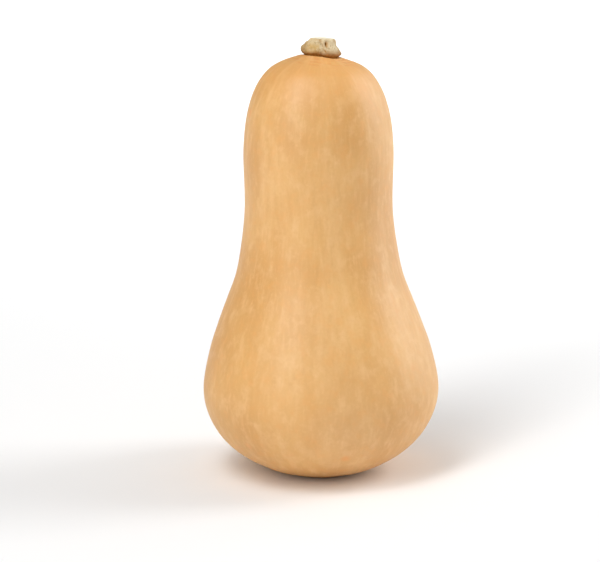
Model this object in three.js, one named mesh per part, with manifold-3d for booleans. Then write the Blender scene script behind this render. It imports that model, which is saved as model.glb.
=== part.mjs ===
// A whole butternut squash standing upright on its blossom end, with the corky stub of its stem.
// Millimetres, +Z up. The origin lies on the surface that the squash stands on, under its middle.
// The fruit is one grown piece, and the stem sits on its crown as a piece of its own.
import * as THREE from "three";
import { mergeVertices } from "three/addons/utils/BufferGeometryUtils.js";
import Module from "manifold-3d";

// Fruit: the main heights and radii of its outline.
const FRUIT_HEIGHT = 239.9;
const BULB_RADIUS = 67.5;
const BULB_HEIGHT = 48.5;
const WAIST_RADIUS = 42;
const WAIST_HEIGHT = 151.5;
const NECK_RADIUS = 42.3;
const NECK_HEIGHT = 187.5;

// Blossom end: a flat ring that the squash rests on, round a dimple with a corky scar.
const REST_INNER = 11;
const REST_OUTER = 22;
const DIMPLE_DEPTH = 2.6;
const SCAR_RADIUS = 5;
const SCAR_RISE = 0.9;

// How the grown fruit departs from a turned shape.
const NECK_OFFSET = [-1.7, 4]; // from the bulb's axis to the neck's
const TILT_TURN = 0.75; // direction in which the crown falls, towards +X and the back
const SHOULDER_TILT = 0.018; // fall of the shoulders, per millimetre
const CROWN_TILT = 0.1; // further fall close round the stem
const CROWN_RADIUS = 16;
const OVALNESS = 0.01;
const OVAL_TURN = 0.6;
const LOBES = 5;
const LOBE_DEPTH = 0.45; // the broad sides of the neck
const RIB_DEPTH = 0.35; // the narrow ribs that gather at the blossom end
const RIB_FADE = [8, 90]; // heights between which the ribs fade out
const LOBE_TURN = -Math.PI / 2 + Math.PI / LOBES;

// Stem: a ridged stub whose foot spreads over the crown. Heights are from the crown.
const STEM_HEIGHT = 9.8;
const FOOT_RADIUS = 11.1;
const STUB_RADIUS = 8;
const CUT_RADIUS = 6.5;
const STEM_ROOT = -2.6;
const STEM_OFFSET = [1.6, 0]; // from the neck's axis
const STEM_LEAN = 0.12; // sideways per millimetre of height
const STEM_BOW = { depth: 1.1, height: 5.2, spread: 3.2 }; // towards -X at half its height
const STEM_TILT = 0.09; // fall of the foot and of the cut end, per millimetre
const CROWDING = 0.17; // brings the ridges closer together at the back
const GROOVE_FOOT = 2.2; // depth between the ridges, at the foot and at the cut end
const GROOVE_TOP = 0.8;
const SWELL = { depth: 0.5, turn: 0.33 }; // makes the stem oval
const TWIST = { depth: 0.4, rise: 0.25 }; // makes its ridges uneven and turns them with height
const KNOT = { turn: -1.2, height: 8.1, radius: 1.2, depth: 1.3 }; // a small hole beside a ridge
const STEM_GAP = 0.3; // clear space between stem and fruit

const AROUND_FRUIT = 72;
const STEPS_UP_FRUIT = 44;
const AROUND_STEM = 60;
const STEPS_UP_STEM = 22;

const wasm = await Module();
wasm.setup();

const { lerp, smoothstep } = THREE.MathUtils;
const bell = (v, width) => Math.exp(-((v / width) ** 2));

// Evenly spaced points of a smooth curve through [radius, height] stations.
function smoothOutline(stations, steps) {
  const curve = new THREE.CatmullRomCurve3(stations.map(([r, z]) => new THREE.Vector3(r, z, 0)));
  return curve.getSpacedPoints(steps).map((p) => new THREE.Vector2(Math.max(p.x, 0), p.y));
}

// A mesh's geometry as one closed surface with only its positions.
function closed(geometry) {
  geometry.deleteAttribute("normal");
  geometry.deleteAttribute("uv");
  return mergeVertices(geometry, 1e-3);
}

// Turns an outline about Z, then moves each of its points by grow.
function turned(outline, around, grow) {
  const geometry = new THREE.LatheGeometry(outline, around).rotateX(Math.PI / 2);
  const position = geometry.getAttribute("position");
  const p = new THREE.Vector3();
  for (let i = 0; i < position.count; i++) {
    p.fromBufferAttribute(position, i);
    grow(p, Math.hypot(p.x, p.y), Math.atan2(p.y, p.x));
    position.setXYZ(i, p.x, p.y, p.z);
  }
  return closed(geometry);
}

// The bulb's lower half, an arc of the ellipse that meets the ring at REST_OUTER.
function underside() {
  const drop = BULB_HEIGHT / Math.sqrt(1 - (REST_OUTER / BULB_RADIUS) ** 2);
  const widest = Math.acos(REST_OUTER / BULB_RADIUS);
  return [1, 0.8, 0.6, 0.4, 0.2].map((part) => {
    const below = part * widest;
    return [BULB_RADIUS * Math.cos(below), BULB_HEIGHT - drop * Math.sin(below)];
  });
}

function fruitOutline() {
  const scarTop = DIMPLE_DEPTH - SCAR_RISE;
  const blossomEnd = [
    [0, scarTop],
    [SCAR_RADIUS * 0.7, scarTop + 0.1],
    [SCAR_RADIUS, DIMPLE_DEPTH],
    [SCAR_RADIUS + 2, DIMPLE_DEPTH * 0.75],
    [REST_INNER - 1.8, DIMPLE_DEPTH * 0.16],
    [REST_INNER, 0],
    [(REST_INNER + REST_OUTER) / 2, 0],
  ];
  const wall = [
    ...underside(),
    [BULB_RADIUS, BULB_HEIGHT],
    [BULB_RADIUS * 0.94, BULB_HEIGHT + 22],
    [BULB_RADIUS * 0.866, BULB_HEIGHT + 37],
    [BULB_RADIUS * 0.788, BULB_HEIGHT + 51],
    [BULB_RADIUS * 0.709, BULB_HEIGHT + 65],
    [WAIST_RADIUS * 1.06, BULB_HEIGHT + 81],
    [WAIST_RADIUS, WAIST_HEIGHT],
    [NECK_RADIUS, NECK_HEIGHT],
    [NECK_RADIUS * 0.944, FRUIT_HEIGHT - 32.5],
    [NECK_RADIUS * 0.824, FRUIT_HEIGHT - 17.8],
    [NECK_RADIUS * 0.64, FRUIT_HEIGHT - 7.8],
    [NECK_RADIUS * 0.3, FRUIT_HEIGHT - 1.3],
    [0, FRUIT_HEIGHT],
  ];
  const base = blossomEnd.map(([r, z]) => new THREE.Vector2(r, z));
  return [...base, ...smoothOutline(wall, STEPS_UP_FRUIT)];
}

function growFruit(p, radius, angle) {
  const neck = smoothstep(p.z, BULB_HEIGHT, WAIST_HEIGHT);
  const blossom = 1 - smoothstep(p.z, ...RIB_FADE);
  const lobe = LOBE_DEPTH * neck * Math.cos(LOBES * (angle - LOBE_TURN));
  const rib = (RIB_DEPTH * blossom * radius * Math.cos(2 * LOBES * (angle - LOBE_TURN))) / BULB_RADIUS;
  const oval = OVALNESS * radius * Math.cos(2 * (angle - OVAL_TURN));
  const grown = radius + oval + rib + lobe * Math.min(radius / CROWN_RADIUS, 1);
  const tilt = SHOULDER_TILT + CROWN_TILT * bell(radius, CROWN_RADIUS);
  p.x = grown * Math.cos(angle);
  p.y = grown * Math.sin(angle);
  p.z -= tilt * grown * Math.cos(angle - TILT_TURN) * smoothstep(p.z, NECK_HEIGHT, FRUIT_HEIGHT);
  p.x += NECK_OFFSET[0] * neck;
  p.y += NECK_OFFSET[1] * neck;
}

function stemOutline() {
  const cut = STEM_HEIGHT;
  const bark = [
    [FOOT_RADIUS - 2.2, STEM_ROOT],
    [FOOT_RADIUS - 0.2, -0.8],
    [FOOT_RADIUS + 0.3, 0.9],
    [FOOT_RADIUS, 2.6],
    [FOOT_RADIUS - 0.9, 4.3],
    [STUB_RADIUS + 0.9, 6],
    [STUB_RADIUS, 7.6],
    [CUT_RADIUS + 0.6, cut - 0.8],
    [CUT_RADIUS, cut],
  ];
  const root = new THREE.Vector2(0, STEM_ROOT);
  const cutEnd = [
    [CUT_RADIUS - 1.5, cut - 0.2],
    [CUT_RADIUS - 4, cut - 0.6],
    [0, cut - 0.9],
  ].map(([r, z]) => new THREE.Vector2(r, z));
  return [root, ...smoothOutline(bark, STEPS_UP_STEM), ...cutEnd];
}

function growStem(p, radius, angle) {
  const up = smoothstep(p.z, 0, STEM_HEIGHT);
  const out = Math.min(radius / STUB_RADIUS, 1) ** 2;
  const ridge = Math.abs(Math.cos((LOBES / 2) * (angle - LOBE_TURN - CROWDING * Math.cos(angle)))) ** 0.7;
  const groove = lerp(GROOVE_FOOT, GROOVE_TOP, up) * (1 - ridge);
  const oval = SWELL.depth * Math.cos(2 * (angle - SWELL.turn));
  const uneven = TWIST.depth * Math.sin(3 * angle - TWIST.rise * p.z);
  const fromKnot = Math.hypot((angle - KNOT.turn) * radius, p.z - KNOT.height);
  const knot = KNOT.depth * bell(fromKnot, KNOT.radius);
  const grown = radius + (oval + uneven - groove - knot) * out;
  const bow = STEM_BOW.depth * bell(p.z - STEM_BOW.height, STEM_BOW.spread);
  p.x = grown * Math.cos(angle) + STEM_LEAN * Math.max(p.z, 0) - bow;
  p.y = grown * Math.sin(angle);
  p.z -= STEM_TILT * grown * Math.cos(angle - TILT_TURN);
}

function solidOf(geometry) {
  const vertProperties = geometry.getAttribute("position").array;
  const triVerts = new Uint32Array(geometry.index.array);
  return new wasm.Manifold(new wasm.Mesh({ numProp: 3, vertProperties, triVerts }));
}

function geometryOf(solid) {
  const { vertProperties, triVerts } = solid.getMesh();
  const geometry = new THREE.BufferGeometry();
  geometry.setAttribute("position", new THREE.BufferAttribute(new Float32Array(vertProperties), 3));
  geometry.setIndex(new THREE.BufferAttribute(new Uint32Array(triVerts), 1));
  geometry.computeVertexNormals();
  return geometry;
}

function makeFruit() {
  const geometry = turned(fruitOutline(), AROUND_FRUIT, growFruit);
  geometry.computeVertexNormals();
  const skin = new THREE.MeshStandardMaterial({ color: 0xe3b27a, roughness: 0.5, metalness: 0 });
  const mesh = new THREE.Mesh(geometry, skin);
  mesh.name = "fruit";
  return mesh;
}

// The stem's underside is the crown's own surface, a gap above it.
function makeStem(fruit) {
  const x = NECK_OFFSET[0] + STEM_OFFSET[0];
  const y = NECK_OFFSET[1] + STEM_OFFSET[1];
  const whole = solidOf(turned(stemOutline(), AROUND_STEM, growStem)).translate([x, y, FRUIT_HEIGHT]);
  const crown = solidOf(fruit.geometry).translate([0, 0, STEM_GAP]);
  const cork = new THREE.MeshStandardMaterial({ color: 0xcdb98c, roughness: 0.9, metalness: 0 });
  const mesh = new THREE.Mesh(geometryOf(whole.subtract(crown)), cork);
  mesh.name = "stem";
  return mesh;
}

const squash = new THREE.Group();
const fruit = makeFruit();
squash.add(fruit, makeStem(fruit));

export default squash;
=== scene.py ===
# A whole butternut squash on a plain pale floor. Metres, +Z up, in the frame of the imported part.
# The fruit and its stem are turned from their outlines, then grown point by point into uneven forms.

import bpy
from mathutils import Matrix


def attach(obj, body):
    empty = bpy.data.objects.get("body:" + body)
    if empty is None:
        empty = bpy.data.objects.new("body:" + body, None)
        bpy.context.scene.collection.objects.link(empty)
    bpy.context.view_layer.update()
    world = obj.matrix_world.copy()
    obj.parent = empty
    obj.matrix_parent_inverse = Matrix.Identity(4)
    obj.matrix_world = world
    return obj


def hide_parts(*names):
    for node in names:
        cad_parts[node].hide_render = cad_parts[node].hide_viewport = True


bl_info = {
    "name": "Butternut Squash",
    "version": (1, 0, 0),
    "blender": (4, 5, 0),
    "location": "3D View > Sidebar > Squash",
    "description": "Models a whole butternut squash with its corky stem and sets it in a soft studio",
    "category": "Add Mesh",
}

import math

import bmesh
import bpy
from bpy.props import FloatProperty, FloatVectorProperty, IntProperty, PointerProperty
from mathutils import Color, Vector, noise
from mathutils.geometry import interpolate_bezier

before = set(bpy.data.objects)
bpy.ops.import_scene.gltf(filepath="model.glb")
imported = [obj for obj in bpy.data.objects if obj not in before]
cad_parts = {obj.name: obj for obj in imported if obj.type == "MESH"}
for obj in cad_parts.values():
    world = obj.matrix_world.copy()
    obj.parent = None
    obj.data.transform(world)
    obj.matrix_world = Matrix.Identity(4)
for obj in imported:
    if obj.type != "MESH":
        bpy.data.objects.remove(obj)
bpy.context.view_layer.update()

MM = 0.001

# How the grown fruit departs from a turned shape.
NECK_OFFSET = Vector((-1.7, 4, 0)) * MM
TILT_TURN = 0.75
SHOULDER_TILT = 0.018
CROWN_TILT = 0.1
CROWN_RADIUS = 16 * MM
OVALNESS = 0.01
OVAL_TURN = 0.6
LOBES = 5
LOBE_DEPTH = 0.45 * MM
LOBE_TURN = -math.pi / 2 + math.pi / LOBES
RIB_DEPTH = 0.35 * MM
RIB_FADE = (8 * MM, 90 * MM)

# Where the mesh of the fruit is fine: round the stem and round the blossom scar.
FINE_RADIUS = 25 * MM
FINE_STEP = 0.5 * MM
COARSE_STEP = 1.25 * MM

# How the skin swells round the foot of the stem and the foot lifts off it, most at the front of the crown.
FRONT_TURN = -2
FRONT_SHARPNESS = 6
COLLAR_FRONT = 1.4 * MM
COLLAR_BACK = 0.25 * MM
COLLAR_SPREAD = 1.8 * MM
MOAT_DEPTH = 0.4 * MM
LIFT_FRONT = 0.9 * MM
LIFT_BACK = -0.4 * MM

# Fine broken creases that ring the stem.
CREASE_DEPTH = 0.4 * MM
CREASE_STEP = 0.5 * MM
CREASE_WANDER = (1.6 * MM, 6 * MM)
CREASE_FADE = (4 * MM, 13 * MM)

# Depth and size of the unevenness of each surface.
RIND_WAVES = (0.45 * MM, 38 * MM)
RIND_STREAKS = (0.07 * MM, 4 * MM)
BARK_LUMPS = (0.5 * MM, 2.8 * MM)
BARK_GRAIN = (0.16 * MM, 0.62 * MM)
BARK_CRACKS = (0.2 * MM, 1.5 * MM)
CUT_RINGS = (0.1 * MM, 0.5 * MM)

# How the stem departs from a turned shape.
STEM_AXIS = NECK_OFFSET + Vector((1.6, 0, 0)) * MM
STEM_ROOT = -2.6 * MM
STEM_LEAN = 0.12
BOW_DEPTH = 1.1 * MM
BOW_HEIGHT = 5.2 * MM
BOW_SPREAD = 3.2 * MM
STEM_TILT = 0.09
CROWDING = 0.17
GROOVE_FOOT = 2.2 * MM
GROOVE_TOP = 0.8 * MM
SWELL_DEPTH = 0.5 * MM
SWELL_TURN = 0.33
TWIST_DEPTH = 0.4 * MM
TWIST_RISE = 250
WIND_LOW = 0.15
WIND_TOP = 0.28
FURROW_TURN = -1.17
FURROW_DEPTH = 0.35 * MM
FURROW_WIDTH = 1.1 * MM
STEM_STEP = 0.2 * MM

# Small holes in the bark: the turn, height, radius and depth of each.
PITS = (
    (-1.19, 6.7 * MM, 0.95 * MM, 1.9 * MM),
    (-1.33, 3.1 * MM, 0.6 * MM, 0.8 * MM),
    (3.02, 7.4 * MM, 0.7 * MM, 0.9 * MM),
)

# Scale of each pattern in the rind and in the cork, per metre.
RIND_SCALES = {
    "patches": 17, "bands": 70, "dashes": 240, "fibres": 720,
    "clouds": 130, "mottle": 620, "spots": 75, "pores": 520,
}
CORK_SCALES = {"patches": 210, "stains": 480, "fibres": 1500, "specks": 1100}

# Width, height and place of each light, in metres.
KEY_LIGHT = (0.5, 2.2, (-0.9, -1.24, 1.42))
TOP_LIGHT = (1, 1, (-0.57, -0.63, 1.94))
SIDE_LIGHT = (0.8, 1.8, (1.75, 0.47, 0.98))
RIM_LIGHT = (0.8, 1.2, (1.15, 1.3, 0.75))
FLOOR_LIGHT = (10, 4, (0, 2.9, 1.6))
FLOOR_SPREAD = 80
LIGHT_AIM = (0, 0, 0.13)
FLOOR_AIM = (0, 2.9, 0)


class FruitSettings(bpy.types.PropertyGroup):
    """Sizes and colours of the fruit"""

    height: FloatProperty(
        name="Height", description="From the floor to the crown",
        default=0.2399, unit="LENGTH",
    )
    bulb_radius: FloatProperty(
        name="Bulb Radius", description="Half the width of the seed end", default=0.0675, unit="LENGTH"
    )
    bulb_height: FloatProperty(
        name="Bulb Height", description="Where the seed end is widest", default=0.0485, unit="LENGTH"
    )
    waist_radius: FloatProperty(
        name="Waist Radius", description="Half the width of the narrowest part",
        default=0.042, unit="LENGTH",
    )
    waist_height: FloatProperty(
        name="Waist Height", description="Where the neck is narrowest", default=0.1515, unit="LENGTH"
    )
    neck_radius: FloatProperty(
        name="Neck Radius", description="Half the width of the upper neck", default=0.0423, unit="LENGTH"
    )
    neck_height: FloatProperty(
        name="Neck Height", description="Where the upper neck is widest", default=0.1875, unit="LENGTH"
    )
    rest_inner: FloatProperty(
        name="Rest Inner Radius", description="Inner radius of the ring it stands on",
        default=0.011, unit="LENGTH",
    )
    rest_outer: FloatProperty(
        name="Rest Outer Radius", description="Outer radius of the ring it stands on",
        default=0.022, unit="LENGTH",
    )
    dimple_depth: FloatProperty(
        name="Dimple Depth", description="Depth of the hollow at the blossom end",
        default=0.0026, unit="LENGTH",
    )
    scar_radius: FloatProperty(
        name="Scar Radius", description="Radius of the blossom scar", default=0.005, unit="LENGTH"
    )
    scar_rise: FloatProperty(
        name="Scar Rise", description="How far the scar stands out of its hollow",
        default=0.0009, unit="LENGTH",
    )
    around: IntProperty(name="Points Around", description="Points in each ring of the mesh", default=288)
    tan: FloatVectorProperty(
        name="Tan", description="Main colour of the rind",
        default=(0.89, 0.685, 0.41), subtype="COLOR_GAMMA",
    )
    pale: FloatVectorProperty(
        name="Pale", description="Its paler patches and streaks",
        default=(0.94, 0.765, 0.53), subtype="COLOR_GAMMA",
    )
    deep: FloatVectorProperty(
        name="Deep", description="Its deeper patches and streaks",
        default=(0.84, 0.62, 0.345), subtype="COLOR_GAMMA",
    )
    flush: FloatVectorProperty(
        name="Flush", description="The warm flush round the stem",
        default=(0.905, 0.65, 0.345), subtype="COLOR_GAMMA",
    )
    spot: FloatVectorProperty(
        name="Spot", description="Its few orange spots", default=(0.93, 0.60, 0.28), subtype="COLOR_GAMMA"
    )
    # Painted shade: the fine creases round the stem are painted a deeper orange for the shade in them.
    crease: FloatVectorProperty(
        name="Crease", description="The fine creases round the stem", default=(0.86, 0.55, 0.25),
        subtype="COLOR_GAMMA",
    )
    # Painted shade: this brown is painted where the crevice under the stem's foot lies in shade. The
    # blossom scar's cork also mottles towards it, as its own colour.
    shade: FloatVectorProperty(
        name="Shade", description="Brown skin in the crevice under the stem", default=(0.84, 0.60, 0.29),
        subtype="COLOR_GAMMA",
    )
    roughness: FloatProperty(name="Roughness", description="How matt the skin is", default=0.5)
    scar: FloatVectorProperty(
        name="Scar", description="Cork of the blossom scar",
        default=(0.56, 0.42, 0.27), subtype="COLOR_GAMMA",
    )
    crust: FloatVectorProperty(
        name="Crust", description="Darker edge of the scar",
        default=(0.36, 0.27, 0.18), subtype="COLOR_GAMMA",
    )


class StemSettings(bpy.types.PropertyGroup):
    """Sizes and colours of the stem"""

    height: FloatProperty(
        name="Height", description="From the crown to the cut end",
        default=0.0098, unit="LENGTH",
    )
    foot_radius: FloatProperty(
        name="Foot Radius", description="Half the width where it spreads", default=0.0111, unit="LENGTH"
    )
    stub_radius: FloatProperty(
        name="Stub Radius", description="Half the width above the foot", default=0.008, unit="LENGTH"
    )
    cut_radius: FloatProperty(
        name="Cut Radius", description="Half the width of the cut end", default=0.0065, unit="LENGTH"
    )
    around: IntProperty(name="Points Around", description="Points in each ring of the mesh", default=280)
    bark: FloatVectorProperty(
        name="Bark", description="Main colour of the ridges",
        default=(0.80, 0.68, 0.485), subtype="COLOR_GAMMA",
    )
    cream: FloatVectorProperty(
        name="Cream", description="Pale, dry crests", default=(0.875, 0.81, 0.67), subtype="COLOR_GAMMA"
    )
    ochre: FloatVectorProperty(
        name="Ochre", description="Yellow patches of the ridges",
        default=(0.79, 0.65, 0.41), subtype="COLOR_GAMMA",
    )
    # Painted shade: this brown darkens the grooves between the ridges, the pits, the cracks and the crevice
    # under the foot. The small specks in the cork use it too, as real dark flecks.
    crevice: FloatVectorProperty(
        name="Crevice", description="Creases and the crevice under the foot", default=(0.70, 0.50, 0.24),
        subtype="COLOR_GAMMA",
    )
    cut: FloatVectorProperty(
        name="Cut End", description="Dry wood of the cut end",
        default=(0.93, 0.91, 0.83), subtype="COLOR_GAMMA",
    )
    # Painted shade: this browner cork colour stands for the shade low on the foot.
    foot: FloatVectorProperty(
        name="Foot", description="Browner cork low on the foot",
        default=(0.66, 0.47, 0.275), subtype="COLOR_GAMMA",
    )
    stain: FloatVectorProperty(
        name="Stain", description="Dull weathered blotches",
        default=(0.57, 0.48, 0.32), subtype="COLOR_GAMMA",
    )


class StageSettings(bpy.types.PropertyGroup):
    """Floor, light and camera"""

    floor_size: FloatProperty(name="Floor Size", description="Side of the floor", default=16, unit="LENGTH")
    floor: FloatVectorProperty(
        name="Floor", description="Colour of the floor", default=(0.97, 0.97, 0.97), subtype="COLOR_GAMMA"
    )
    daylight: FloatProperty(name="Daylight", description="Strength of the white surroundings", default=0.3)
    key_power: FloatProperty(
        name="Key Power", description="Power of the tall light at the front left",
        default=23.4, unit="POWER",
    )
    top_power: FloatProperty(
        name="Top Power", description="Power of the light high at the front left", default=9.5, unit="POWER"
    )
    side_power: FloatProperty(
        name="Side Power", description="Power of the tall light at the right", default=23, unit="POWER"
    )
    rim_power: FloatProperty(
        name="Rim Power", description="Power of the light at the back right", default=4, unit="POWER"
    )
    floor_power: FloatProperty(
        name="Floor Power", description="Power of the light over the floor behind",
        default=117, unit="POWER",
    )
    lens: FloatProperty(name="Lens", description="Focal length in millimetres", default=168)
    elevation: FloatProperty(
        name="Elevation", description="Camera's height over the horizon",
        default=math.radians(13), subtype="ANGLE",
    )
    distance: FloatProperty(
        name="Distance", description="From the camera to the squash",
        default=1.6, unit="LENGTH",
    )
    aim: FloatVectorProperty(
        name="Aim", description="Middle of the picture: across, along and above the floor",
        default=(-0.0122, 0, 0.1105), subtype="TRANSLATION",
    )


def linear(colour):
    """A colour as shader sockets want it."""
    return (*Color(colour).from_srgb_to_scene_linear(), 1)


def clamp(value):
    return min(max(value, 0), 1)


def smoothstep(value, low, high):
    t = clamp((value - low) / (high - low))
    return t * t * (3 - 2 * t)


def lerp(low, high, t):
    return low + (high - low) * t


def bell(value, width):
    return math.exp(-((value / width) ** 2))


def stretched(point, scale):
    """A point with its height scaled, which draws a pattern out lengthwise."""
    return Vector((point.x, point.y, point.z * scale))


def uneven(point, relief):
    """Smooth random rise or fall at a point. The relief gives its depth and its size."""
    depth, size = relief
    return depth * noise.noise(point / size)


def smooth_line(stations):
    """A fine line of points on the smooth curve through (radius, height) stations."""
    points = [Vector(station) for station in stations]
    ends = [points[0] * 2 - points[1], *points, points[-1] * 2 - points[-2]]
    line = []
    for before, start, end, after in zip(ends, ends[1:], ends[2:], ends[3:]):
        gaps = (before, start), (start, end), (end, after)
        lead, span, trail = (math.sqrt((b - a).length) for a, b in gaps)
        leaving = ((start - before) / lead - (end - before) / (lead + span)) * span + (end - start)
        arriving = ((after - end) / trail - (after - start) / (span + trail)) * span + (end - start)
        line += interpolate_bezier(start, start + leaving / 3, end - arriving / 3, end, 65)[:-1]
    return [*line, points[-1]]


def spaced(line, step_at):
    """The points of a fine line, thinned until each lies about step_at(point) beyond the last."""
    kept, travelled = [line[0]], 0
    for before, point in zip(line, line[1:]):
        travelled += (point - before).length
        if travelled >= step_at(point):
            kept.append(point)
            travelled = 0
    if travelled > 0:
        kept.append(line[-1])
    return kept


def straight(points, step):
    """The points of a broken line, with each stretch divided into equal steps."""
    line = [Vector(points[0])]
    for start, end in zip(map(Vector, points), map(Vector, points[1:])):
        count = max(1, round((end - start).length / step))
        line += [start.lerp(end, (i + 1) / count) for i in range(count)]
    return line


def turn(outline, around):
    """A closed bmesh of an outline turned about Z. A layer keeps how far along it each point lies."""
    bm = bmesh.new()
    along = bm.verts.layers.float.new("along")
    travelled, last = 0, None
    for radius, height in outline:
        vert = bm.verts.new((radius, 0, height))
        if last:
            travelled += (vert.co - last.co).length
            bm.edges.new((last, vert))
        vert[along] = travelled
        last = vert
    bmesh.ops.spin(
        bm, geom=bm.verts[:] + bm.edges[:], cent=(0, 0, 0), axis=(0, 0, 1), dvec=(0, 0, 0),
        angle=math.tau, steps=around, use_merge=True, use_normal_flip=False, use_duplicate=False,
    )
    bmesh.ops.remove_doubles(bm, verts=bm.verts, dist=1e-6)
    bmesh.ops.recalc_face_normals(bm, faces=bm.faces)
    return bm


def finish_piece(bm, name, material, node):
    """Makes a bmesh a smooth piece that rides on the body and stands for a node."""
    mesh = bpy.data.meshes.new(name)
    bm.to_mesh(mesh)
    bm.free()
    mesh.shade_smooth()
    mesh.materials.append(material)
    piece = bpy.data.objects.new(name, mesh)
    bpy.context.scene.collection.objects.link(piece)
    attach(piece, "root")
    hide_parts(node)


def fruit_outline(s):
    """The fruit's outline from the middle of the blossom scar to the crown."""
    scar_top = s.dimple_depth - s.scar_rise
    base = smooth_line([
        (0, scar_top),
        (s.scar_radius * 0.7, scar_top + 0.1 * MM),
        (s.scar_radius, s.dimple_depth),
        (s.scar_radius + 2 * MM, s.dimple_depth * 0.75),
        (s.rest_inner - 1.8 * MM, s.dimple_depth * 0.16),
        (s.rest_inner, 0),
    ])
    drop = s.bulb_height / math.sqrt(1 - (s.rest_outer / s.bulb_radius) ** 2)
    widest = math.acos(s.rest_outer / s.bulb_radius)
    underside = [
        (s.bulb_radius * math.cos(part * widest), s.bulb_height - drop * math.sin(part * widest))
        for part in (1, 0.8, 0.6, 0.4, 0.2)
    ]
    wall = smooth_line([
        *underside,
        (s.bulb_radius, s.bulb_height),
        (s.bulb_radius * 0.94, s.bulb_height + 22 * MM),
        (s.bulb_radius * 0.866, s.bulb_height + 37 * MM),
        (s.bulb_radius * 0.788, s.bulb_height + 51 * MM),
        (s.bulb_radius * 0.709, s.bulb_height + 65 * MM),
        (s.waist_radius * 1.06, s.bulb_height + 81 * MM),
        (s.waist_radius, s.waist_height),
        (s.neck_radius, s.neck_height),
        (s.neck_radius * 0.944, s.height - 32.5 * MM),
        (s.neck_radius * 0.824, s.height - 17.8 * MM),
        (s.neck_radius * 0.64, s.height - 7.8 * MM),
        (s.neck_radius * 0.3, s.height - 1.3 * MM),
        (0, s.height),
    ])
    ring = straight([base[-1], wall[0]], FINE_STEP)[1:-1]
    return [
        *spaced(base, lambda p: FINE_STEP), *ring,
        *spaced(wall, lambda p: FINE_STEP if p[0] < FINE_RADIUS else COARSE_STEP),
    ]


def grow_fruit(vert, s):
    """Moves a turned point to where the fruit has grown, and returns its angle."""
    radius, angle, height = math.hypot(vert.co.x, vert.co.y), math.atan2(vert.co.y, vert.co.x), vert.co.z
    neck = smoothstep(height, s.bulb_height, s.waist_height)
    blossom = 1 - smoothstep(height, *RIB_FADE)
    lobe = LOBE_DEPTH * neck * math.cos(LOBES * (angle - LOBE_TURN))
    rib = RIB_DEPTH * blossom * radius / s.bulb_radius * math.cos(2 * LOBES * (angle - LOBE_TURN))
    oval = OVALNESS * radius * math.cos(2 * (angle - OVAL_TURN))
    grown = radius + oval + rib + lobe * min(radius / CROWN_RADIUS, 1)
    tilt = SHOULDER_TILT + CROWN_TILT * bell(radius, CROWN_RADIUS)
    fall = tilt * grown * math.cos(angle - TILT_TURN) * smoothstep(height, s.neck_height, s.height)
    vert.co = Vector((grown * math.cos(angle), grown * math.sin(angle), height - fall)) + NECK_OFFSET * neck
    return angle


def frontness(angle):
    """How much an angle round the stem belongs to its front, from 0 to 1."""
    return (0.5 + 0.5 * math.cos(angle - FRONT_TURN)) ** FRONT_SHARPNESS


def stem_growth(angle, height, s):
    """How far ridges and swellings carry the stem's side outwards, and how much of a ridge it is."""
    up = smoothstep(height, 0, s.height)
    wind = WIND_LOW * bell(height - 4.6 * MM, 2.4 * MM) - WIND_TOP * smoothstep(height, 6.5 * MM, s.height)
    ridge = abs(math.cos(LOBES / 2 * (angle - LOBE_TURN - wind - CROWDING * math.cos(angle)))) ** 0.7
    oval = SWELL_DEPTH * math.cos(2 * (angle - SWELL_TURN))
    twist = TWIST_DEPTH * math.sin(3 * angle - TWIST_RISE * height)
    return oval + twist - lerp(GROOVE_FOOT, GROOVE_TOP, up) * (1 - ridge), ridge


def crown_relief(co, s, stem):
    """How deep a point lies in a crease, how far the skin rises there, and how much painted shade it takes
    under the foot.
    """
    away = Vector((co.x - STEM_AXIS.x, co.y - STEM_AXIS.y, 0))
    distance = away.length
    if co.z < s.neck_height or distance > FINE_RADIUS:
        return 0, 0, 0
    angle = math.atan2(away.y, away.x)
    edge = distance - stem.foot_radius - stem_growth(angle, 1 * MM, stem)[0]
    ring = 0.5 + 0.5 * math.cos((distance + uneven(co, CREASE_WANDER)) / CREASE_STEP)
    around = away.normalized() * 3.1 + Vector((0, 0, distance / (2.4 * MM)))
    broken = smoothstep(noise.noise(around), -0.2, 0.15)
    fade = smoothstep(edge, 1 * MM, 2 * MM) * (1 - smoothstep(edge, *CREASE_FADE))
    collar = lerp(COLLAR_BACK, COLLAR_FRONT, frontness(angle)) * bell(edge - 1 * MM, COLLAR_SPREAD)
    moat = MOAT_DEPTH * bell(edge + 1.4 * MM, 1 * MM)
    return ring**2 * broken * fade, collar - moat, 1 - smoothstep(edge, -1 * MM, 0.6 * MM)


def build_fruit(s, stem):
    bm = turn(fruit_outline(s), s.around)
    along = bm.verts.layers.float["along"]
    skin = bm.verts.layers.float_vector.new("skin")
    crease = bm.verts.layers.float.new("crease")
    shade = bm.verts.layers.float.new("shade")
    for vert in bm.verts:
        angle = grow_fruit(vert, s)
        flat = Vector((math.cos(angle), math.sin(angle), 0)) * s.neck_radius
        vert[skin] = flat + Vector((0, 0, vert[along]))
    bm.normal_update()
    for vert in bm.verts:
        co = vert.co.copy()
        standing = smoothstep(co.z, 0, 4 * MM)
        waves = uneven(stretched(co, 0.45), RIND_WAVES)
        streaks = uneven(stretched(vert[skin], 0.1), RIND_STREAKS)
        vert[crease], collar, vert[shade] = crown_relief(co, s, stem)
        vert.co += vert.normal * ((waves + streaks) * standing + collar - CREASE_DEPTH * vert[crease])
    return bm


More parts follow.
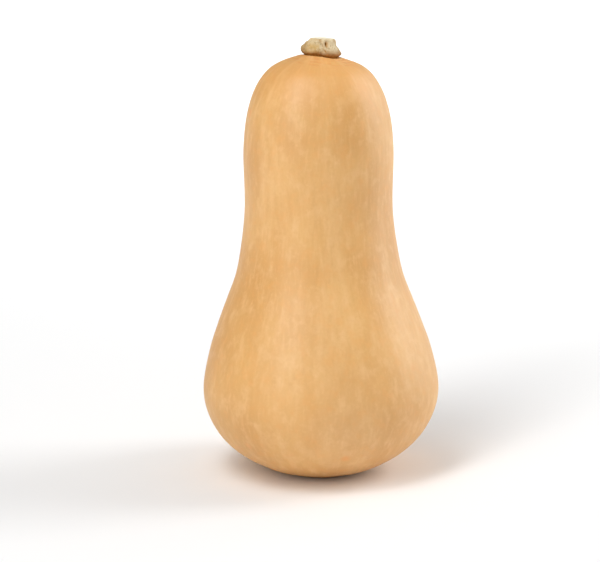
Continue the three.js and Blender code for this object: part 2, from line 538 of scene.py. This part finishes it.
def stem_outline(s):
    """The stem's outline from the middle of its root to the middle of its cut end."""
    bark = smooth_line([
        (s.foot_radius - 3 * MM, STEM_ROOT),
        (s.foot_radius - 2.1 * MM, -0.6 * MM),
        (s.foot_radius - 1.1 * MM, 0.3 * MM),
        (s.foot_radius - 0.1 * MM, 1 * MM),
        (s.foot_radius + 0.3 * MM, 1.9 * MM),
        (s.foot_radius - 0.1 * MM, 3.1 * MM),
        (s.foot_radius - 0.9 * MM, 4.4 * MM),
        (s.stub_radius + 0.9 * MM, 6 * MM),
        (s.stub_radius, 7.6 * MM),
        (s.cut_radius + 0.6 * MM, s.height - 0.8 * MM),
        (s.cut_radius + 0.1 * MM, s.height - 0.25 * MM),
        (s.cut_radius - 0.5 * MM, s.height),
    ])
    cut = [
        bark[-1],
        (s.cut_radius - 1.5 * MM, s.height - 0.2 * MM),
        (s.cut_radius - 4 * MM, s.height - 0.6 * MM),
        (0, s.height - 0.9 * MM),
    ]
    root = straight([(0, STEM_ROOT), bark[0]], 1 * MM)
    return [*root[:-1], *spaced(bark, lambda p: STEM_STEP), *straight(cut, STEM_STEP)[1:]]


def grow_stem(vert, s):
    """Moves a turned point to where the stem has grown. Returns how far it is a cut face and how much
    painted shade it takes in its creases, pits and under its foot.
    """
    radius, angle, height = math.hypot(vert.co.x, vert.co.y), math.atan2(vert.co.y, vert.co.x), vert.co.z
    out = min(radius / s.stub_radius, 1) ** 2
    growth, ridge = stem_growth(angle, height, s)
    from_furrow = (angle - FURROW_TURN) * radius
    furrow = FURROW_DEPTH * bell(from_furrow, FURROW_WIDTH) * smoothstep(height, 2.5 * MM, 6 * MM)
    pit, hollow = 0, 0
    for turn_, level, width, depth in PITS:
        side = ((angle - turn_ + math.pi) % math.tau - math.pi) * radius
        part = bell(math.hypot(side, 0.75 * (height - level + 0.6 * side)), width)
        pit, hollow = max(pit, part), hollow + depth * part
    grown = radius + (growth - furrow - hollow) * out
    low = smoothstep(height, -2 * MM, 0) * (1 - smoothstep(height, 1 * MM, 6 * MM))
    lift = lerp(LIFT_BACK, LIFT_FRONT, frontness(angle)) * low
    bow = BOW_DEPTH * bell(height - BOW_HEIGHT, BOW_SPREAD)
    vert.co = Vector((
        grown * math.cos(angle) + STEM_LEAN * max(height, 0) - bow,
        grown * math.sin(angle),
        height + lift - STEM_TILT * grown * math.cos(angle - TILT_TURN),
    ))
    inside = 1 - smoothstep(radius, s.cut_radius - 0.5 * MM, s.cut_radius + 0.1 * MM)
    cut = inside * smoothstep(height, s.height - 0.9 * MM, s.height - 0.25 * MM)
    # Painted shade under the foot, in the pits and in the grooves between the ridges.
    under = 1 - smoothstep(height, 0.3 * MM, 1.4 * MM)
    return cut, clamp(max(pit * 1.3, under, 0.45 * (1 - ridge) ** 2 * (1 - cut)))


def build_stem(s, crown):
    bm = turn(stem_outline(s), s.around)
    cut = bm.verts.layers.float.new("cut")
    crevice = bm.verts.layers.float.new("crevice")
    foot = bm.verts.layers.float.new("foot")
    for vert in bm.verts:
        vert[foot] = 1 - smoothstep(vert.co.z, 1.2 * MM, 5 * MM)
        vert[cut], vert[crevice] = grow_stem(vert, s)
    bm.normal_update()
    (crack_depth, crack_size), (ring_depth, ring_size) = BARK_CRACKS, CUT_RINGS
    for vert in bm.verts:
        co = vert.co
        angle = math.atan2(co.y, co.x)
        lumps = uneven(co, BARK_LUMPS)
        grain = uneven(stretched(co, 0.22), BARK_GRAIN)
        line = noise.noise(stretched(co, 0.3) / crack_size + Vector((7, 3, 5)))
        crack = 1 - smoothstep(abs(line), 0, 0.1)
        rings = ring_depth * noise.noise(Vector((math.hypot(co.x, co.y) / ring_size, angle * 1.5, 2)))
        rough = lerp(lumps + grain - crack_depth * crack, rings + lumps * 0.5, vert[cut])
        # Painted shade in the cracks.
        vert[crevice] = clamp(vert[crevice] + 0.3 * crack * (1 - vert[cut]))
        vert.co = co + vert.normal * rough + Vector((STEM_AXIS.x, STEM_AXIS.y, crown))
    return bm


class Paint:
    """Adds shader nodes to a new material, one call for each."""

    def __init__(self, name):
        self.material = bpy.data.materials.new(name)
        self.material.use_nodes = True
        self.tree = self.material.node_tree
        self.tree.nodes.clear()

    def node(self, kind, inputs, **settings):
        made = self.tree.nodes.new("ShaderNode" + kind)
        for key, value in settings.items():
            setattr(made, key, value)
        for socket, value in inputs.items():
            if isinstance(value, bpy.types.NodeSocket):
                self.tree.links.new(value, made.inputs[socket])
            else:
                made.inputs[socket].default_value = value
        return made

    def place(self):
        return self.node("TexCoord", {}).outputs["Object"]

    def attribute(self, name, output="Fac"):
        return self.node("Attribute", {}, attribute_name=name).outputs[output]

    def stretch(self, vector, scale):
        return self.node("Mapping", {"Vector": vector, "Scale": scale}).outputs["Vector"]

    def noise(self, vector, scale, detail=2, roughness=0.5):
        inputs = {"Vector": vector, "Scale": scale, "Detail": detail, "Roughness": roughness}
        return self.node("TexNoise", inputs).outputs["Fac"]

    def cells(self, vector, scale):
        return self.node("TexVoronoi", {"Vector": vector, "Scale": scale, "Randomness": 1}).outputs

    def remap(self, value, low, high, to_low=0, to_high=1):
        inputs = {"Value": value, "From Min": low, "From Max": high, "To Min": to_low, "To Max": to_high}
        return self.node("MapRange", inputs, interpolation_type="SMOOTHSTEP").outputs["Result"]

    def maths(self, operation, first, second):
        return self.node("Math", {0: first, 1: second}, operation=operation).outputs[0]

    def mix(self, factor, low, high):
        """A colour between low and high. The sockets that a Mix node uses for colours are 6, 7 and 2."""
        return self.node("Mix", {0: factor, 6: low, 7: high}, data_type="RGBA").outputs[2]

    def bump(self, height, strength, distance, normal=None):
        inputs = {"Height": height, "Strength": strength, "Distance": distance}
        if normal:
            inputs["Normal"] = normal
        return self.node("Bump", inputs).outputs["Normal"]

    def surface(self, inputs):
        shader = self.node("BsdfPrincipled", inputs)
        self.node("OutputMaterial", {"Surface": shader.outputs["BSDF"]})
        return self.material


def paint_rind(s):
    """Satin tan skin with soft lengthwise dashes, mottling, a few orange spots and the blossom scar, and
    painted shade in the creases round the stem and in the crevice under its foot.
    """
    paint = Paint("satin tan rind")
    place, skin = paint.place(), paint.attribute("skin", "Vector")
    scales = RIND_SCALES
    patches = paint.noise(place, scales["patches"], 2)
    bands = paint.noise(paint.stretch(skin, (1, 1, 0.08)), scales["bands"], 1)
    dashes = paint.noise(paint.stretch(skin, (1, 1, 0.3)), scales["dashes"], 3, 0.6)
    fibres = paint.noise(paint.stretch(skin, (1, 1, 0.16)), scales["fibres"], 2)
    clouds = paint.noise(place, scales["clouds"], 3, 0.6)
    mottle = paint.noise(place, scales["mottle"], 3, 0.6)
    colour = paint.mix(paint.remap(patches, 0.35, 0.65), linear(s.tan), linear(s.deep))
    colour = paint.mix(paint.remap(bands, 0.45, 0.7, 0, 0.3), colour, linear(s.pale))
    colour = paint.mix(paint.remap(dashes, 0.5, 0.72, 0, 0.36), colour, linear(s.pale))
    colour = paint.mix(paint.remap(dashes, 0.5, 0.3, 0, 0.36), colour, linear(s.deep))
    colour = paint.mix(paint.remap(fibres, 0.5, 0.75, 0, 0.2), colour, linear(s.pale))
    colour = paint.mix(paint.remap(clouds, 0.5, 0.7, 0, 0.3), colour, linear(s.flush))
    colour = paint.mix(paint.remap(clouds, 0.5, 0.3, 0, 0.3), colour, linear(s.pale))
    colour = paint.mix(paint.remap(mottle, 0.5, 0.8, 0, 0.25), colour, linear(s.pale))
    colour = paint.mix(paint.remap(mottle, 0.5, 0.2, 0, 0.25), colour, linear(s.deep))
    cells = paint.cells(place, scales["spots"])
    chosen = paint.remap(paint.node("SeparateXYZ", {"Vector": cells["Color"]}).outputs["X"], 0.9, 0.98)
    spots = paint.maths("MULTIPLY", paint.remap(cells["Distance"], 0.3, 0.05, 0, 0.5), chosen)
    colour = paint.mix(spots, colour, linear(s.spot))
    pores = paint.cells(place, scales["pores"])["Distance"]
    colour = paint.mix(paint.remap(pores, 0.2, 0.05, 0, 0.2), colour, linear(s.deep))
    height = paint.node("SeparateXYZ", {"Vector": place}).outputs["Z"]
    crown = paint.remap(height, s.height - 30 * MM, s.height - 3 * MM, 0, 0.45)
    colour = paint.mix(crown, colour, linear(s.flush))
    # Painted shade: the creases round the stem are darkened with the crease colour.
    colour = paint.mix(paint.maths("MULTIPLY", paint.attribute("crease"), 0.7), colour, linear(s.crease))
    # Painted shade: the crevice under the stem's foot is darkened with the shade brown.
    colour = paint.mix(paint.attribute("shade"), colour, linear(s.shade))
    flat = paint.stretch(place, (1, 1, 0))
    radius = paint.node("VectorMath", {0: flat}, operation="LENGTH").outputs["Value"]
    low = paint.remap(height, 6 * MM, 3 * MM)
    scar = paint.remap(radius, s.scar_radius + 1.6 * MM, s.scar_radius - 0.6 * MM)
    scar = paint.maths("MULTIPLY", scar, low)
    cork = paint.mix(paint.remap(mottle, 0.35, 0.65), linear(s.scar), linear(s.shade))
    edge = paint.remap(radius, s.scar_radius - 3 * MM, s.scar_radius, 0, 0.5)
    cork = paint.mix(edge, cork, linear(s.crust))
    colour = paint.mix(scar, colour, cork)
    normal = paint.bump(mottle, 0.25, 0.00015)
    normal = paint.bump(fibres, 0.2, 0.0002, normal)
    normal = paint.bump(paint.remap(pores, 0.05, 0.2), 0.25, 0.0001, normal)
    return paint.surface({
        "Base Color": colour,
        "Roughness": paint.remap(mottle, 0.2, 0.8, s.roughness - 0.04, s.roughness + 0.05),
        "Specular IOR Level": 0.78,
        "Subsurface Weight": 0.12,
        "Subsurface Radius": (1.0, 0.45, 0.15),
        "Subsurface Scale": 0.003,
        "Normal": normal,
    })


def paint_cork(s, crown):
    """Dry ridged cork, ochre and cream, with a pale cut end, painted shade in brown low on its foot, most
    on the right, and painted shade in its creases, pits, cracks and the crevice under it.
    """
    paint = Paint("dry stem cork")
    place = paint.place()
    cut, crevice, foot = (paint.attribute(name) for name in ("cut", "crevice", "foot"))
    scales = CORK_SCALES
    patches = paint.noise(place, scales["patches"], 2)
    stains = paint.noise(place, scales["stains"], 3, 0.6)
    fibres = paint.noise(paint.stretch(place, (1, 1, 0.2)), scales["fibres"], 3, 0.6)
    specks = paint.noise(place, scales["specks"], 3, 0.6)
    where = paint.node("SeparateXYZ", {"Vector": place}).outputs
    right = paint.remap(where["X"], STEM_AXIS.x - 2.2 * MM, STEM_AXIS.x, 0, 0.85)
    high = paint.remap(where["Z"], crown + 5.5 * MM, crown + 9 * MM, 0, 0.6)
    colour = paint.mix(paint.remap(patches, 0.38, 0.62), linear(s.ochre), linear(s.bark))
    colour = paint.mix(paint.maths("MAXIMUM", right, high), colour, linear(s.cream))
    colour = paint.mix(paint.remap(fibres, 0.48, 0.75, 0, 0.7), colour, linear(s.cream))
    # Painted shade: the low foot is painted browner, little on the left and most on the right.
    foot_shade = paint.remap(where["X"], STEM_AXIS.x, STEM_AXIS.x + 4 * MM, 0.32, 0.95)
    foot_shade = paint.maths("MULTIPLY", foot, foot_shade)
    colour = paint.mix(foot_shade, colour, linear(s.foot))
    # Darker and greyer towards the stem's left edge, in the stain colour.
    edge = paint.remap(where["X"], STEM_AXIS.x - 7.5 * MM, STEM_AXIS.x - 10 * MM, 0, 0.5)
    colour = paint.mix(edge, colour, linear(s.stain))
    colour = paint.mix(paint.remap(stains, 0.54, 0.7, 0, 0.5), colour, linear(s.stain))
    colour = paint.mix(paint.remap(specks, 0.45, 0.2, 0, 0.4), colour, linear(s.crevice))
    colour = paint.mix(paint.maths("MULTIPLY", cut, 0.85), colour, linear(s.cut))
    # Painted shade in the creases, pits, cracks and under the foot.
    colour = paint.mix(crevice, colour, linear(s.crevice))
    normal = paint.bump(fibres, 0.5, 0.0003)
    return paint.surface({
        "Base Color": colour,
        "Roughness": 0.88,
        "Specular IOR Level": 0.25,
        "Normal": normal,
    })


def paint_floor(s):
    paint = Paint("matte white floor")
    return paint.surface({"Base Color": linear(s.floor), "Roughness": 0.9, "Specular IOR Level": 0.0})


def soft_light(name, power, width, height, place, target, spread=180):
    """A rectangular light at place, facing target. It spreads its light over an angle in degrees."""
    light = bpy.data.lights.new(name, "AREA")
    light.shape = "RECTANGLE"
    light.energy, light.size, light.size_y = power, width, height
    light.spread = math.radians(spread)
    lamp = bpy.data.objects.new(name, light)
    lamp.location = place
    lamp.visible_camera = False
    lamp.rotation_euler = (Vector(target) - Vector(place)).to_track_quat("-Z", "Y").to_euler()
    bpy.context.scene.collection.objects.link(lamp)


def aim_camera(s):
    """The camera in front of the squash, along +Y, looking down by its elevation."""
    data = bpy.data.cameras.new("camera")
    data.lens, data.sensor_width = s.lens, 36
    camera = bpy.data.objects.new("camera", data)
    camera.rotation_euler = (math.pi / 2 - s.elevation, 0, 0)
    back = Vector((0, -math.cos(s.elevation), math.sin(s.elevation)))
    camera.location = Vector(s.aim) + back * s.distance
    bpy.context.scene.collection.objects.link(camera)
    bpy.context.scene.camera = camera


class SQUASH_OT_fruit(bpy.types.Operator):
    """Models the fruit with its blossom scar and paints its rind"""

    bl_idname = "squash.fruit"
    bl_label = "Fruit"

    def execute(self, context):
        s = context.scene.squash_fruit
        fruit = build_fruit(s, context.scene.squash_stem)
        finish_piece(fruit, "squash_fruit", paint_rind(s), "fruit")
        return {"FINISHED"}


class SQUASH_OT_stem(bpy.types.Operator):
    """Models the ridged stem on the crown and paints its cork"""

    bl_idname = "squash.stem"
    bl_label = "Stem"

    def execute(self, context):
        s = context.scene.squash_stem
        crown = context.scene.squash_fruit.height
        finish_piece(build_stem(s, crown), "squash_stem", paint_cork(s, crown), "stem")
        return {"FINISHED"}


class SQUASH_OT_stage(bpy.types.Operator):
    """Lays the floor and sets the soft lights and the camera"""

    bl_idname = "squash.stage"
    bl_label = "Stage"

    def execute(self, context):
        s = context.scene.squash_stage
        bm = bmesh.new()
        bmesh.ops.create_grid(bm, x_segments=1, y_segments=1, size=s.floor_size / 2)
        mesh = bpy.data.meshes.new("floor")
        bm.to_mesh(mesh)
        bm.free()
        mesh.materials.append(paint_floor(s))
        floor = bpy.data.objects.new("floor", mesh)
        context.scene.collection.objects.link(floor)
        world = bpy.data.worlds.new("white surroundings")
        world.use_nodes = True
        world.node_tree.nodes["Background"].inputs["Color"].default_value = (1, 1, 1, 1)
        world.node_tree.nodes["Background"].inputs["Strength"].default_value = s.daylight
        context.scene.world = world
        soft_light("key light", s.key_power, *KEY_LIGHT, LIGHT_AIM)
        soft_light("top light", s.top_power, *TOP_LIGHT, LIGHT_AIM)
        soft_light("side light", s.side_power, *SIDE_LIGHT, LIGHT_AIM)
        soft_light("rim light", s.rim_power, *RIM_LIGHT, LIGHT_AIM)
        soft_light("floor light", s.floor_power, *FLOOR_LIGHT, FLOOR_AIM, FLOOR_SPREAD)
        context.scene.view_settings.view_transform = "Standard"
        aim_camera(s)
        return {"FINISHED"}


class SQUASH_PT_panel(bpy.types.Panel):
    """Lists the settings and the operators"""

    bl_idname = "SQUASH_PT_panel"
    bl_label = "Butternut Squash"
    bl_space_type = "VIEW_3D"
    bl_region_type = "UI"
    bl_category = "Squash"

    def draw(self, context):
        for settings, operator in (
            (context.scene.squash_fruit, SQUASH_OT_fruit),
            (context.scene.squash_stem, SQUASH_OT_stem),
            (context.scene.squash_stage, SQUASH_OT_stage),
        ):
            box = self.layout.box()
            for name in settings.__annotations__:
                box.prop(settings, name)
            box.operator(operator.bl_idname)


SETTINGS = {"squash_fruit": FruitSettings, "squash_stem": StemSettings, "squash_stage": StageSettings}
CLASSES = (*SETTINGS.values(), SQUASH_OT_fruit, SQUASH_OT_stem, SQUASH_OT_stage, SQUASH_PT_panel)


def register():
    for cls in CLASSES:
        bpy.utils.register_class(cls)
    for name, group in SETTINGS.items():
        setattr(bpy.types.Scene, name, PointerProperty(type=group))


def unregister():
    for name in SETTINGS:
        delattr(bpy.types.Scene, name)
    for cls in reversed(CLASSES):
        bpy.utils.unregister_class(cls)


def main():
    register()
    bpy.ops.squash.fruit()
    bpy.ops.squash.stem()
    bpy.ops.squash.stage()


if __name__ == "__main__":
    main()
